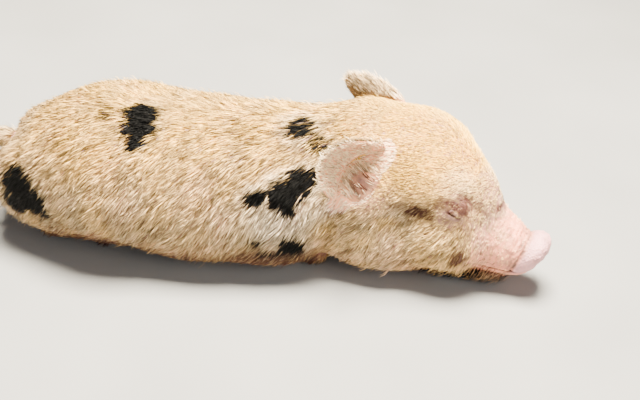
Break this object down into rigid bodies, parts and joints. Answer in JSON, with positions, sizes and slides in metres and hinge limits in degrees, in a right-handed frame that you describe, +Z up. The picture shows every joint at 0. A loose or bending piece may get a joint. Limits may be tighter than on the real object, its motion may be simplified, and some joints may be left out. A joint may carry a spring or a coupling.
{
  "type": "life-size model of a sleeping piglet",
  "caption": "Sleeping domestic piglet, life size, lying on its belly with folded legs, head turned aside, cream coat with black spots, pink snout disc and curled tail.",
  "frame": {"origin": "on the floor, under the middle of the whole animal's bounding box", "axes": "+X towards the snout, +Y to the animal's left side, +Z up"},
  "size_m": [0.3676, 0.1232, 0.1107],
  "materials": {
    "coat": "short cream hair over pink skin, with black spots",
    "skin": "bare pink skin, finely wrinkled and moist",
    "eye": "wet and dark, under closed lids",
    "claw": "horn, dull"
  },
  "bodies": {
    "root": {"torso": "coat", "neck": "coat", "head": "coat", "snout_disc": "skin", "eye_right": "eye", "eye_left": "eye", "ear_right": "coat", "ear_left": "coat", "foreleg_right": "coat", "foreleg_left": "coat", "hindleg_right": "coat", "hindleg_left": "coat", "tail": "coat", "claw_fore_right_inner": "claw", "claw_fore_right_outer": "claw", "claw_fore_left_inner": "claw", "claw_fore_left_outer": "claw", "claw_hind_right_inner": "claw", "claw_hind_right_outer": "claw", "claw_hind_left_inner": "claw", "claw_hind_left_outer": "claw"}
  },
  "joints": []
}
